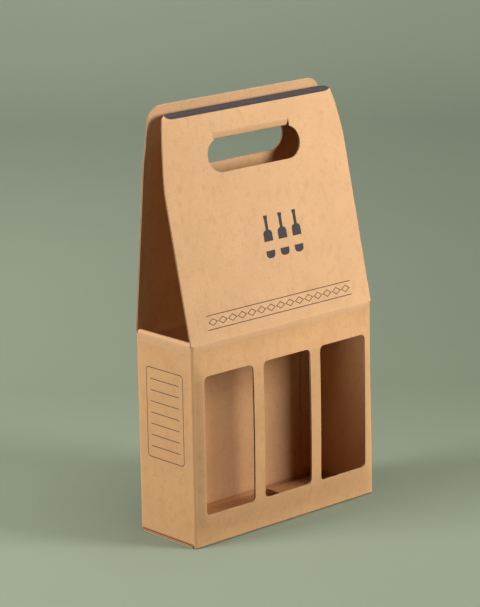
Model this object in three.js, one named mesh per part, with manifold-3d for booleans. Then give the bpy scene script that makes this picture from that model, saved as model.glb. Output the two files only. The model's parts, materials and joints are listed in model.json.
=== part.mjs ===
// Bottle gift box: a carry carton for a row of bottles, folded from one corrugated blank.
// Millimetres, +Z up. X runs along the front, the front faces -Y, and the origin is the
// centre of the base on the floor. Each panel between two creases is one mesh.
import * as THREE from 'three';
import { mergeVertices } from 'three/addons/utils/BufferGeometryUtils.js';
import loadManifold from 'manifold-3d';

// Board and fits
const BOARD = 1.5; // thickness of the corrugated board
const FIT = 0.3; // gap between pieces that touch
const CREASE_INSIDE = 0.8; // inside radius of a right-angle crease

// Sleeve: the four walls
const WIDTH = 190; // outside, along X
const DEPTH = 65; // outside, along Y
const WALL_HEIGHT = 160.7; // floor to the handle creases
const RIM_RADIUS = 2.4; // outside radius of a side wall's rolled top rim
const GLUE_FLAP_WIDTH = 16;
const GLUE_FLAP_MITRE = 9; // slope of the glue flap's ends, over its width

// Windows in the front wall
const WINDOW_COUNT = 3;
const WINDOW_MARGIN = 9.6; // front corner to the first window
const WINDOW_PILLAR = 10.4; // between two windows
const WINDOW_SILL = 25.2; // floor to a window
const WINDOW_HEADER = 24.5; // a window to the handle crease
const WINDOW_CORNER = 4.3;

// Handle panels
const FRONT_HANDLE_LENGTH = 171.4; // crease to the start of the rolled top fold
const REAR_HANDLE_RISE = 6.8; // how much longer the rear panel is, crease to free edge
const REAR_HANDLE_CORNER = 13;
const REAR_LEAN = THREE.MathUtils.degToRad(5.75); // forward, at rest
const SHOULDER_RADIUS = 120;
const SHOULDER_INSET = 7.5; // how far a shoulder draws in at the rolled fold
const ROLL_RADIUS = 4.3; // outside radius of the rolled top fold
const ROLL_END_INSET = 0.5; // a shoulder's end to the roll's end
const ROLL_END_CORNER = 7; // rounds the roll's ends, seen from the front
const ROLL_EAR = 13; // of each end, which turns only halfway over
const RETURN_FLAP_LENGTH = 11;
const RETURN_FLAP_TAPER = 2; // how far each end slopes in
const RETURN_FLAP_CORNER = 3;

// Hand hole, alike in both handle panels, and its grip flap
const HOLE_BELOW_FOLD = 15.1; // rolled fold to the hole's top crease
const HOLE_CREASE_LENGTH = 79;
const HOLE_LENGTH = 96;
const HOLE_DROP = 31.8; // top crease to the hole's lower edge
const HOLE_END_RADIUS = 13;
const GRIP_FLAP_LENGTH = 14;
const GRIP_FLAP_BEND = THREE.MathUtils.degToRad(62); // from the panel, at rest

// Top flaps, hanging from the side rims
const TOP_FLAP_LENGTH = 24;
const TOP_FLAP_MITRE = 7; // how far each end slopes in
const TOP_FLAP_CORNER = 4;

// Base
const BASE_SIDE_INSET = 0.4; // side wall's face to the base panel's edge
const TUCK_HEIGHT = 14;
const TUCK_LEAN = THREE.MathUtils.degToRad(10); // inward, so that the base swings clear of the front wall
const TUCK_TAPER = 5; // how far each end slopes in
const TUCK_CORNER = 6;
const BASE_FLAP_LENGTH = 61.5;
const BASE_FLAP_FRONT_GAP = 8.5; // front wall to a base flap, room for the leaning tuck
const BASE_FLAP_REAR_GAP = 3; // rear wall to a base flap
const BASE_FLAP_MITRE = 4;

// Facets of the round stretches
const BEND_STEP = THREE.MathUtils.degToRad(15);
const ARC_SEGMENTS = 8;

// Places worked out from the sizes above
const CORNER = CREASE_INSIDE + BOARD; // outside radius of a right-angle crease
const LEFT = -WIDTH / 2;
const RIGHT = WIDTH / 2;
const FRONT = -DEPTH / 2;
const REAR = DEPTH / 2;
const WALL_TOP = WALL_HEIGHT - FIT;
const FLAP_LEVEL = BOARD + FIT; // underside of what lies on the base panel
const REAR_HANDLE_LENGTH = FRONT_HANDLE_LENGTH + REAR_HANDLE_RISE;
const HOLE_TOP = FRONT_HANDLE_LENGTH - HOLE_BELOW_FOLD;
const FRONT_LEAN = frontLean();

const kraft = new THREE.MeshStandardMaterial({ color: '#c49568', roughness: 0.9, flatShading: true });
const slateInk = new THREE.MeshStandardMaterial({ color: '#46464f', roughness: 0.7, flatShading: true });

const X_AXIS = new THREE.Vector3(1, 0, 0);
const Y_AXIS = new THREE.Vector3(0, 1, 0);
const Z_AXIS = new THREE.Vector3(0, 0, 1);
const ORIGIN = new THREE.Vector2(0, 0);

const wasm = await loadManifold();
wasm.setup();

// Lean of the front handle panel at which its rolled fold rests on the rear panel's inner face.
// The roll's centre lies S up the panel and R behind it, so with the leans' sum as t,
// S sin t + R cos t is the room that is left between the two creases.
function frontLean() {
  const up = FRONT_HANDLE_LENGTH + FIT;
  const room = DEPTH * Math.cos(REAR_LEAN) - BOARD - FIT - ROLL_RADIUS;
  const sum = Math.asin(room / Math.hypot(up, ROLL_RADIUS)) - Math.atan2(ROLL_RADIUS, up);
  return sum - REAR_LEAN;
}

// Cross-section of a bent strip of board. The path follows the board's outer face from start,
// and the board lies on its left (side 1) or right (side -1). Each step is a straight run or
// a bend towards the board, whose radius is the outer face's.
function stripShape(start, heading, side, steps) {
  const outer = [];
  const inner = [];
  const here = new THREE.Vector2(...start);
  let angle = heading;
  const along = () => new THREE.Vector2(Math.cos(angle), Math.sin(angle));
  const across = (distance) => along().rotateAround(ORIGIN, (side * Math.PI) / 2).multiplyScalar(distance);
  const mark = () => {
    outer.push(here.clone());
    inner.push(here.clone().add(across(BOARD)));
  };
  mark();
  for (const { run = 0, bend = 0, radius = 0 } of steps) {
    if (run > 0) {
      here.add(along().multiplyScalar(run));
      mark();
    }
    const count = Math.ceil(bend / BEND_STEP);
    const centre = here.clone().add(across(radius));
    for (let i = 0; i < count; i += 1) {
      angle += (side * bend) / count;
      here.copy(centre).sub(across(radius));
      mark();
    }
  }
  return new THREE.Shape([...outer, ...inner.reverse()]);
}

// Closed outline through corners [x, y] or [x, y, fillet radius].
function outline(corners) {
  const shape = new THREE.Shape();
  const point = (i) => new THREE.Vector2(...corners[(i + corners.length) % corners.length].slice(0, 2));
  corners.forEach(([, , radius = 0], i) => {
    const corner = point(i);
    const back = point(i - 1).sub(corner).normalize();
    const ahead = point(i + 1).sub(corner).normalize();
    const half = Math.acos(back.dot(ahead)) / 2;
    const first = corner.clone().addScaledVector(back, radius / Math.tan(half));
    if (i === 0) shape.moveTo(first.x, first.y);
    else shape.lineTo(first.x, first.y);
    if (radius > 0) {
      const last = corner.clone().addScaledVector(ahead, radius / Math.tan(half));
      const middle = back.clone().add(ahead).normalize();
      const centre = corner.clone().addScaledVector(middle, radius / Math.sin(half));
      const from = first.sub(centre).angle();
      const to = last.sub(centre).angle();
      shape.absarc(centre.x, centre.y, radius, from, to, back.cross(ahead) > 0);
    }
  });
  shape.closePath();
  return shape;
}

function rectangle(left, bottom, right, top, radius = 0) {
  return outline([
    [left, bottom, radius],
    [right, bottom, radius],
    [right, top, radius],
    [left, top, radius],
  ]);
}

// The three ways of extruding an outline, each between two places on the axis left over
function extrude(shape, depth) {
  return new THREE.ExtrudeGeometry(shape, { depth, bevelEnabled: false, curveSegments: ARC_SEGMENTS });
}

function alongX(shapeYZ, from, to) {
  const basis = new THREE.Matrix4().makeBasis(Y_AXIS, Z_AXIS, X_AXIS);
  return extrude(shapeYZ, to - from).applyMatrix4(basis).translate(from, 0, 0);
}

function alongY(shapeXZ, from, to) {
  const basis = new THREE.Matrix4().makeBasis(X_AXIS, Z_AXIS, Y_AXIS.clone().negate());
  return extrude(shapeXZ, to - from).applyMatrix4(basis).translate(0, to, 0);
}

function alongZ(shapeXY, from, to) {
  return extrude(shapeXY, to - from).translate(0, 0, from);
}

// Booleans on closed geometry
function toSolid(geometry) {
  const bare = geometry.clone();
  bare.deleteAttribute('normal');
  bare.deleteAttribute('uv');
  const merged = mergeVertices(bare);
  const vertProperties = new Float32Array(merged.attributes.position.array);
  const triVerts = new Uint32Array(merged.index.array);
  return new wasm.Manifold(new wasm.Mesh({ numProp: 3, vertProperties, triVerts }));
}

function toGeometry(solid) {
  const { vertProperties, triVerts } = solid.getMesh();
  const geometry = new THREE.BufferGeometry();
  geometry.setAttribute('position', new THREE.BufferAttribute(vertProperties, 3));
  geometry.setIndex(new THREE.BufferAttribute(triVerts, 1));
  geometry.computeVertexNormals();
  return geometry;
}

function join(geometry, ...others) {
  return toGeometry(others.reduce((solid, other) => solid.add(toSolid(other)), toSolid(geometry)));
}

function cut(geometry, ...others) {
  return toGeometry(others.reduce((solid, other) => solid.subtract(toSolid(other)), toSolid(geometry)));
}

function common(geometry, other) {
  return toGeometry(toSolid(geometry).intersect(toSolid(other)));
}

function mirroredX(geometry) {
  const flipped = geometry.clone().applyMatrix4(new THREE.Matrix4().makeScale(-1, 1, 1));
  const bare = flipped.index ? flipped.toNonIndexed() : flipped;
  const { array } = bare.attributes.position;
  for (let i = 0; i < array.length; i += 9) {
    const second = array.slice(i + 3, i + 6);
    array.copyWithin(i + 3, i + 6, i + 9);
    array.set(second, i + 6);
  }
  bare.computeVertexNormals();
  return bare;
}

function addPiece(group, name, geometry, material = kraft) {
  const mesh = new THREE.Mesh(geometry, material);
  mesh.name = name;
  group.add(mesh);
}

// Front wall: both corner creases, which stop above the base panel's corners, and the windows
function frontPanel() {
  const corner = { bend: Math.PI / 2, radius: CORNER };
  const between = { run: WIDTH - 2 * CORNER };
  const plan = stripShape([LEFT, FRONT + CORNER], -Math.PI / 2, 1, [corner, between, corner]);
  const wall = alongZ(plan, 0, WALL_TOP);
  const underCorners = [];
  for (const [from, to] of [[LEFT - BOARD, LEFT + CORNER], [RIGHT - CORNER, RIGHT + BOARD]]) {
    const underCorner = rectangle(from, FRONT - BOARD, to, FRONT + CORNER + BOARD);
    underCorners.push(alongZ(underCorner, -BOARD, FLAP_LEVEL));
  }
  const windowWidth = (WIDTH - 2 * WINDOW_MARGIN - (WINDOW_COUNT - 1) * WINDOW_PILLAR) / WINDOW_COUNT;
  const windowTop = WALL_HEIGHT - WINDOW_HEADER;
  const windows = [];
  for (let i = 0; i < WINDOW_COUNT; i += 1) {
    const left = LEFT + WINDOW_MARGIN + i * (windowWidth + WINDOW_PILLAR);
    const opening = rectangle(left, WINDOW_SILL, left + windowWidth, windowTop, WINDOW_CORNER);
    windows.push(alongY(opening, FRONT - BOARD, FRONT + 2 * BOARD));
  }
  return cut(wall, ...underCorners, ...windows);
}

// Rear wall: a corner crease on the left, a cut edge on the right over the glue flap, and the
// base crease along its foot
function rearPanel() {
  const corner = { bend: Math.PI / 2, radius: CORNER };
  const plan = stripShape([RIGHT, REAR], Math.PI, 1, [{ run: WIDTH - CORNER }, corner]);
  const wall = alongZ(plan, CORNER, WALL_TOP);
  const lap = CORNER;
  const foot = stripShape([REAR, CORNER + lap], -Math.PI / 2, -1, [{ run: lap }, corner]);
  return join(wall, alongX(foot, LEFT + CORNER, RIGHT - CORNER));
}

// Left wall: from the base flap's crease up and over the rolled rim
function leftSidePanel(rearEnd) {
  const upright = WALL_HEIGHT - FLAP_LEVEL - CORNER;
  const section = stripShape([LEFT + CORNER, FLAP_LEVEL], Math.PI, -1, [
    { bend: Math.PI / 2, radius: CORNER },
    { run: upright },
    { bend: Math.PI, radius: RIM_RADIUS },
  ]);
  return alongY(section, FRONT + CORNER + FIT, rearEnd);
}

// Maker's joint: the right wall's rear crease and the mitred flap glued inside the rear wall
const GLUE_FACE = REAR - BOARD - FIT;
function glueFlap() {
  const plan = stripShape([RIGHT, GLUE_FACE - CORNER], Math.PI / 2, 1, [
    { bend: Math.PI / 2, radius: CORNER },
    { run: GLUE_FLAP_WIDTH },
  ]);
  const strip = alongZ(plan, FLAP_LEVEL, WALL_TOP);
  const crease = RIGHT - CORNER;
  const past = crease - GLUE_FLAP_WIDTH - BOARD;
  const slope = (GLUE_FLAP_MITRE * (crease - past)) / GLUE_FLAP_WIDTH;
  const foot = FLAP_LEVEL + CORNER;
  const below = outline([[past, 0], [crease, 0], [crease, foot], [past, foot + slope]]);
  const above = outline([
    [past, WALL_TOP - slope],
    [crease, WALL_TOP],
    [crease, WALL_HEIGHT],
    [past, WALL_HEIGHT],
  ]);
  const front = GLUE_FACE - 2 * CORNER;
  return cut(strip, alongY(below, front, REAR), alongY(above, front, REAR));
}

// Left top flap: hangs from the rim's inner end, with sloping ends
function leftTopFlap() {
  const inner = LEFT + 2 * RIM_RADIUS;
  const halfTop = GLUE_FACE - BOARD - FIT;
  const halfFoot = halfTop - TOP_FLAP_MITRE;
  const top = WALL_HEIGHT - FIT;
  const foot = top - TOP_FLAP_LENGTH;
  const face = outline([
    [-halfFoot, foot, TOP_FLAP_CORNER],
    [halfFoot, foot, TOP_FLAP_CORNER],
    [halfTop, top],
    [-halfTop, top],
  ]);
  return alongX(face, inner - BOARD, inner);
}

// Base: flat panel from the rear crease, then the crease that turns up into the tuck flap
const BASE_REAR = REAR - CORNER - FIT;
const BASE_FRONT = FRONT + BOARD + FIT;
const BASE_HALF_WIDTH = WIDTH / 2 - BASE_SIDE_INSET;
function basePanel() {
  const section = stripShape([BASE_REAR, 0], Math.PI, -1, [
    { run: BASE_REAR - BASE_FRONT - CORNER },
    { bend: Math.PI / 2 + TUCK_LEAN, radius: CORNER },
  ]);
  const panel = alongX(section, -BASE_HALF_WIDTH, BASE_HALF_WIDTH);
  const creaseEnd = RIGHT - CORNER - FIT;
  const ends = [];
  for (const side of [-1, 1]) {
    const [near, far] = [side * creaseEnd, side * RIGHT].sort((a, b) => a - b);
    const besideCrease = rectangle(near, BOARD, far, BOARD + 2 * CORNER);
    ends.push(alongY(besideCrease, BASE_FRONT - BOARD, BASE_FRONT + 2 * CORNER));
  }
  return cut(panel, ...ends);
}

// Tuck flap: drawn flat in its own group, whose Y runs up the flap from the crease
function tuckFlap() {
  const halfFoot = RIGHT - CORNER - 2 * FIT;
  const halfTop = halfFoot - TUCK_TAPER;
  const face = outline([
    [-halfFoot, FIT],
    [halfFoot, FIT],
    [halfTop, TUCK_HEIGHT, TUCK_CORNER],
    [-halfTop, TUCK_HEIGHT, TUCK_CORNER],
  ]);
  return alongZ(face, 0, BOARD);
}

// Left base flap: lies on the base panel, in from the left wall's foot crease
function leftBaseFlap() {
  const crease = LEFT + CORNER + FIT;
  const end = LEFT + CORNER + BASE_FLAP_LENGTH;
  const front = FRONT + BOARD + BASE_FLAP_FRONT_GAP;
  const rear = REAR - BOARD - BASE_FLAP_REAR_GAP;
  const face = outline([
    [crease, front],
    [end, front + BASE_FLAP_MITRE],
    [end, rear - BASE_FLAP_MITRE],
    [crease, rear],
  ]);
  return alongZ(face, FLAP_LEVEL, FLAP_LEVEL + BOARD);
}

// Hand hole, in a handle panel's own plane with Y up from its crease: a slot with round ends,
// and above it the room that the grip flap leaves under its crease
const HOLE_HALF_TOP = HOLE_CREASE_LENGTH / 2;
const HOLE_END_X = HOLE_LENGTH / 2 - HOLE_END_RADIUS;
const HOLE_END_DROP = HOLE_DROP - HOLE_END_RADIUS; // crease to the centre of a round end
function handHole() {
  const centre = HOLE_TOP - HOLE_END_DROP;
  const meet = Math.acos((HOLE_HALF_TOP - HOLE_END_X) / HOLE_END_RADIUS);
  const hole = new THREE.Path();
  hole.moveTo(-HOLE_HALF_TOP, HOLE_TOP);
  hole.lineTo(-HOLE_HALF_TOP, centre + HOLE_END_RADIUS * Math.sin(meet));
  hole.absarc(-HOLE_END_X, centre, HOLE_END_RADIUS, Math.PI - meet, 1.5 * Math.PI, false);
  hole.absarc(HOLE_END_X, centre, HOLE_END_RADIUS, 1.5 * Math.PI, 2 * Math.PI + meet, false);
  hole.lineTo(HOLE_HALF_TOP, HOLE_TOP);
  hole.closePath();
  return hole;
}

// Grip flap: the upper part of the cut-out, with Y up to the crease at 0
function gripFlap() {
  const half = HOLE_HALF_TOP - FIT;
  const radius = HOLE_END_RADIUS - FIT;
  const meet = Math.acos((half - HOLE_END_X) / radius);
  const tip = Math.asin((HOLE_END_DROP - GRIP_FLAP_LENGTH) / radius);
  const face = new THREE.Shape();
  face.moveTo(-half, -FIT);
  face.lineTo(-half, radius * Math.sin(meet) - HOLE_END_DROP);
  face.absarc(-HOLE_END_X, -HOLE_END_DROP, radius, Math.PI - meet, Math.PI - tip, false);
  face.absarc(HOLE_END_X, -HOLE_END_DROP, radius, tip, meet, false);
  face.lineTo(half, -FIT);
  face.closePath();
  return alongZ(face, 0, BOARD);
}

// Front handle panel: parallel sides, then shoulders that draw in to the rolled fold
const SHOULDER_SWEEP = Math.acos(1 - SHOULDER_INSET / SHOULDER_RADIUS);
const SHOULDER_START = FRONT_HANDLE_LENGTH - SHOULDER_RADIUS * Math.sin(SHOULDER_SWEEP);
const SHOULDER_X = WIDTH / 2 - SHOULDER_RADIUS; // centre of the right shoulder's arc
function frontHandlePanel() {
  const foot = BOARD * Math.tan(FRONT_LEAN);
  const face = new THREE.Shape();
  face.moveTo(LEFT, foot);
  face.lineTo(RIGHT, foot);
  face.absarc(SHOULDER_X, SHOULDER_START, SHOULDER_RADIUS, 0, SHOULDER_SWEEP, false);
  face.absarc(-SHOULDER_X, SHOULDER_START, SHOULDER_RADIUS, Math.PI - SHOULDER_SWEEP, Math.PI, false);
  face.closePath();
  face.holes.push(handHole());
  return alongZ(face, -BOARD, 0);
}

// Rolled top fold: a half turn along the middle, and at each end an ear that turns a quarter
const ROLL_HALF_LENGTH = WIDTH / 2 - SHOULDER_INSET - ROLL_END_INSET;
const ROLL_HALF_TURN = ROLL_HALF_LENGTH - ROLL_EAR;
function handleRoll() {
  const fold = FRONT_HANDLE_LENGTH + FIT;
  const top = fold + ROLL_RADIUS;
  const section = stripShape([fold, 0], 0, -1, [{ bend: Math.PI, radius: ROLL_RADIUS }]);
  const roll = alongX(section, -ROLL_HALF_LENGTH, ROLL_HALF_LENGTH);
  const face = outline([
    [-ROLL_HALF_LENGTH, fold - ROLL_RADIUS],
    [ROLL_HALF_LENGTH, fold - ROLL_RADIUS],
    [ROLL_HALF_LENGTH, top, ROLL_END_CORNER],
    [-ROLL_HALF_LENGTH, top, ROLL_END_CORNER],
  ]);
  const rounded = common(roll, alongZ(face, -3 * ROLL_RADIUS, ROLL_RADIUS));
  const behindEars = [];
  for (const from of [-ROLL_HALF_LENGTH - BOARD, ROLL_HALF_TURN]) {
    const behind = rectangle(from, fold - BOARD, from + ROLL_EAR + BOARD, top + BOARD);
    behindEars.push(alongZ(behind, -3 * ROLL_RADIUS, -ROLL_RADIUS));
  }
  return cut(rounded, ...behindEars);
}

function handleReturnFlap() {
  const top = FRONT_HANDLE_LENGTH;
  const foot = top - RETURN_FLAP_LENGTH;
  const halfFoot = ROLL_HALF_TURN - RETURN_FLAP_TAPER;
  const face = outline([
    [-halfFoot, foot, RETURN_FLAP_CORNER],
    [halfFoot, foot, RETURN_FLAP_CORNER],
    [ROLL_HALF_TURN, top],
    [-ROLL_HALF_TURN, top],
  ]);
  return alongZ(face, -2 * ROLL_RADIUS, BOARD - 2 * ROLL_RADIUS);
}

// Rear handle panel: the same shoulders, run on into round top corners
function rearHandlePanel() {
  const foot = BOARD * Math.tan(REAR_LEAN);
  const cornerY = REAR_HANDLE_LENGTH - REAR_HANDLE_CORNER;
  const reach = SHOULDER_RADIUS - REAR_HANDLE_CORNER;
  const sweep = Math.asin((cornerY - SHOULDER_START) / reach);
  const cornerX = SHOULDER_X + reach * Math.cos(sweep);
  const face = new THREE.Shape();
  face.moveTo(LEFT, foot);
  face.lineTo(RIGHT, foot);
  face.absarc(SHOULDER_X, SHOULDER_START, SHOULDER_RADIUS, 0, sweep, false);
  face.absarc(cornerX, cornerY, REAR_HANDLE_CORNER, sweep, Math.PI / 2, false);
  face.absarc(-cornerX, cornerY, REAR_HANDLE_CORNER, Math.PI / 2, Math.PI - sweep, false);
  face.absarc(-SHOULDER_X, SHOULDER_START, SHOULDER_RADIUS, Math.PI - sweep, Math.PI, false);
  face.closePath();
  face.holes.push(handHole());
  return alongZ(face, 0, BOARD);
}

// The sleeve and the flaps on its side walls
const carton = new THREE.Group();
const cornerRearEnd = REAR - CORNER - FIT;
const glueRearEnd = GLUE_FACE - CORNER - FIT;
addPiece(carton, 'front_panel', frontPanel());
addPiece(carton, 'rear_panel', rearPanel());
addPiece(carton, 'left_side_panel', leftSidePanel(cornerRearEnd));
addPiece(carton, 'right_side_panel', mirroredX(leftSidePanel(glueRearEnd)));
addPiece(carton, 'glue_flap', glueFlap());
addPiece(carton, 'left_top_flap', leftTopFlap());
addPiece(carton, 'right_top_flap', mirroredX(leftTopFlap()));
addPiece(carton, 'left_base_flap', leftBaseFlap());
addPiece(carton, 'right_base_flap', mirroredX(leftBaseFlap()));

// The base, with its tuck flap standing at the end of the front crease
addPiece(carton, 'base_panel', basePanel());
const tuck = new THREE.Group();
tuck.rotation.x = Math.PI / 2 - TUCK_LEAN;
tuck.position.set(
  0,
  BASE_FRONT + CORNER - CREASE_INSIDE * Math.cos(TUCK_LEAN),
  CORNER + CREASE_INSIDE * Math.sin(TUCK_LEAN),
);
addPiece(tuck, 'base_tuck_flap', tuckFlap());
carton.add(tuck);

// Handle groups: Y runs up each panel from its crease; the front's Z points out, the rear's Z in
const frontHandle = new THREE.Group();
frontHandle.position.set(0, FRONT, WALL_HEIGHT);
frontHandle.rotation.x = Math.PI / 2 - FRONT_LEAN;
addPiece(frontHandle, 'front_handle_panel', frontHandlePanel());
addPiece(frontHandle, 'handle_roll', handleRoll(), slateInk);
addPiece(frontHandle, 'handle_return_flap', handleReturnFlap());
carton.add(frontHandle);

const rearHandle = new THREE.Group();
rearHandle.position.set(0, REAR, WALL_HEIGHT);
rearHandle.rotation.x = Math.PI / 2 + REAR_LEAN;
addPiece(rearHandle, 'rear_handle_panel', rearHandlePanel());
carton.add(rearHandle);

// Grip flaps: the front one bends inward about its inner face, the rear one outward about its outer
const frontGrip = new THREE.Group();
frontGrip.position.set(0, HOLE_TOP, -BOARD);
frontGrip.rotation.x = GRIP_FLAP_BEND;
addPiece(frontGrip, 'front_grip_flap', gripFlap());
frontHandle.add(frontGrip);

const rearGrip = new THREE.Group();
rearGrip.position.set(0, HOLE_TOP, 0);
rearGrip.rotation.x = GRIP_FLAP_BEND;
addPiece(rearGrip, 'rear_grip_flap', gripFlap());
rearHandle.add(rearGrip);

export default carton;
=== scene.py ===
"""Dresses the folded bottle gift box: corrugated kraft board, slate print and a plain stage."""

import json
import math

import bpy
import numpy as np
from bpy.props import FloatProperty, FloatVectorProperty, PointerProperty
from mathutils import Matrix, Vector
from mathutils.geometry import delaunay_2d_cdt


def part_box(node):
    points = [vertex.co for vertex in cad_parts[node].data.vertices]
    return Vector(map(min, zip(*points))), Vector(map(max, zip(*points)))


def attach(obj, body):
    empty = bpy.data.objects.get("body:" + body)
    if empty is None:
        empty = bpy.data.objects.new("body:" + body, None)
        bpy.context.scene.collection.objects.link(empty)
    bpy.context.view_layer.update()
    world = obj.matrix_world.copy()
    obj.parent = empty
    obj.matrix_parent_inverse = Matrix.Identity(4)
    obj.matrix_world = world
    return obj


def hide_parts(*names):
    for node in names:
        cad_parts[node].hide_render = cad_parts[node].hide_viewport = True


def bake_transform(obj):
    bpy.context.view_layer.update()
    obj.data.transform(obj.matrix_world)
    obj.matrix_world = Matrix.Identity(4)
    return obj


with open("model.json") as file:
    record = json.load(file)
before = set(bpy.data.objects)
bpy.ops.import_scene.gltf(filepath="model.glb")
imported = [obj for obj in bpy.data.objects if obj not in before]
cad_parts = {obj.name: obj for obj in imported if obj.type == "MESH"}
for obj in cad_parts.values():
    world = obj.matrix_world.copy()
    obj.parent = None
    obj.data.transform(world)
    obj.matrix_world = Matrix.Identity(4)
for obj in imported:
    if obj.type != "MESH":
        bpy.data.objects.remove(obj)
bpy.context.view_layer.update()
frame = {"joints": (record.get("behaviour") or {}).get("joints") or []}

bl_info = {
    "name": "Folded bottle gift box",
    "version": (1, 0, 0),
    "blender": (4, 5, 0),
    "location": "View3D > Sidebar > Gift Box",
    "description": "Builds a carry box folded from corrugated kraft board",
    "category": "Object",
}

MM = 0.001

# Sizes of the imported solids, in millimetres
HINGE = {joint["name"]: np.array(joint["pos_m"]) / MM for joint in frame["joints"]}
BOARD = 1.5
FIT = 0.3
CORNER = 2.3  # outside radius of a right-angle crease
HALF_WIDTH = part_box("front_panel")[1].x / MM
FRONT, CREASE_Z = HINGE["front_handle_hinge"][1:]
REAR = HINGE["rear_handle_hinge"][1]
WALL_TOP = CREASE_Z - FIT
FLAP_LEVEL = BOARD + FIT  # underside of what lies on the base panel
GLUE_FACE = REAR - BOARD - FIT
RIM_RADIUS = (HALF_WIDTH + HINGE["left_top_flap_hinge"][0]) / 2

# Handle panels: leans, lengths, shoulders and the hand hole
rear_crease_to_hole = HINGE["rear_grip_flap_hinge"] - HINGE["rear_handle_hinge"]
front_crease_to_hole = HINGE["front_grip_flap_hinge"] - HINGE["front_handle_hinge"]
HOLE_TOP = math.hypot(*rear_crease_to_hole[1:])
REAR_LEAN = math.atan2(-rear_crease_to_hole[1], rear_crease_to_hole[2])
FRONT_LEAN = math.atan2(front_crease_to_hole[1], front_crease_to_hole[2]) - math.atan2(BOARD, HOLE_TOP)
FRONT_LENGTH = (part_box("front_handle_panel")[1].z / MM - CREASE_Z) / math.cos(FRONT_LEAN)
REAR_LENGTH = (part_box("rear_handle_panel")[1].z / MM - CREASE_Z) / math.cos(REAR_LEAN)
ROLL_RADIUS = 4.3
ROLL_HALF_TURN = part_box("handle_return_flap")[1].x / MM  # past it, an ear turns only a quarter
SHOULDER_RADIUS = 120
SHOULDER_INSET = 7.5
SHOULDER_START = FRONT_LENGTH - math.sqrt(2 * SHOULDER_RADIUS * SHOULDER_INSET - SHOULDER_INSET**2)
REAR_CORNER = 13
RETURN_FLAP = 11
HOLE_HALF_TOP = 39.5
HOLE_HALF_LENGTH = 48
HOLE_DROP = 31.8
HOLE_END_RADIUS = 13
GRIP_FLAP_LENGTH = 14

# Windows
WINDOW_MARGIN = 9.6
WINDOW_PILLAR = 10.4
WINDOW_WIDTH = (2 * HALF_WIDTH - 2 * WINDOW_MARGIN - 2 * WINDOW_PILLAR) / 3
WINDOW_SILL = 25.2
WINDOW_TOP = CREASE_Z - 24.5
WINDOW_CORNER = 4.3

# Middle of the left wall, along the sleeve's path from the end of the glue flap
GLUE_WIDTH = 16
CORNER_LENGTH = math.pi / 2 * CORNER
RIGHT_WALL = GLUE_FACE - FRONT - 2 * CORNER
LEFT_WALL = REAR - FRONT - 2 * CORNER
FRONT_WALL = 2 * HALF_WIDTH - 2 * CORNER
LEFT_WALL_MIDDLE = GLUE_WIDTH + RIGHT_WALL + FRONT_WALL + 3 * CORNER_LENGTH + LEFT_WALL / 2

# Where one board piece hands over to the next across a crease
STRIP = 4  # of wall that goes with a handle panel
RIM_STRIP = 6  # of wall that goes with a side rim
FOOT_STRIP = 3  # of wall that goes with the base and its flaps
CREASE_RADIUS = 5  # outer face, at a handle crease

# How far hand folding has drawn the handle panels' edges along X, and the heights above
# the crease between which the offset grows
FRONT_LEFT_EDGE = (3.0, 112, 146)
FRONT_LEFT_TIP = (-1.2, 156, 172)
FRONT_RIGHT_TIP = (1.1, 150, 168)
REAR_TOP = (-4, 145, FRONT_LENGTH)
DRAWN = (50, 85)  # from the middle, where the front panel's offset begins and where it is whole

# Direction and name of each side, and the rear end of its rim and base flap
SIDES = ((-1, "left", REAR - CORNER), (1, "right", GLUE_FACE - CORNER))

# Mesh of a board
BEND_STEP = math.radians(10)  # between rows in a bend
BESIDE_BEND = 1.2  # from a bend to the next row
LEAST_ROW = 0.12
LEAST_EDGE = 0.25
LEAST_COLUMN = 0.3
EDGE_CLEARANCE = 0.4  # from a cut edge to the grid's nearest point
OUTER, INNER, CUT, FLUTED = range(4)  # material slots


def srgb(*levels):
    """Linear colour of 8-bit display levels."""
    parts = [level / 255 for level in levels]
    return tuple(p / 12.92 if p <= 0.04045 else ((p + 0.055) / 1.055) ** 2.4 for p in parts)


def in_metres(name, description, metres):
    """A length that a user would change."""
    return FloatProperty(name=name, description=description, default=metres, unit="LENGTH")


def in_degrees(name, description, degrees):
    """An angle that a user would change, its default given in degrees."""
    default = math.radians(degrees)
    return FloatProperty(name=name, description=description, default=default, subtype="ANGLE")


def in_watts(name, description, watts):
    """A lamp's power."""
    return FloatProperty(name=name, description=description, default=watts, unit="POWER")


def in_levels(name, description, *levels):
    """A colour that a user would change, its default given as 8-bit display levels."""
    return FloatVectorProperty(
        name=name, description=description, default=srgb(*levels), size=3, subtype="COLOR"
    )


class BoardSizes(bpy.types.PropertyGroup):
    """Sizes of the board that the solids leave out."""

    liner: in_metres("Liner", "Thickness of each facing paper", 0.00032)
    groove: in_metres("Groove", "How far the fluted layer sits back at a cut edge", 0.00035)
    flute_pitch: in_metres("Flute pitch", "From one flute to the next", 0.0032)
    wall_bow: in_metres("Wall bow", "How far the front wall bows out", 0.0025)
    wall_crown: in_metres("Wall crown", "How much further its middle bows out", 0.0014)
    wall_splay: in_metres("Wall splay", "How far the right front corner stands out at its foot", 0.0018)
    flap_lift: in_metres("Flap lift", "How far a base flap springs up at its free end", 0.0025)


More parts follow.
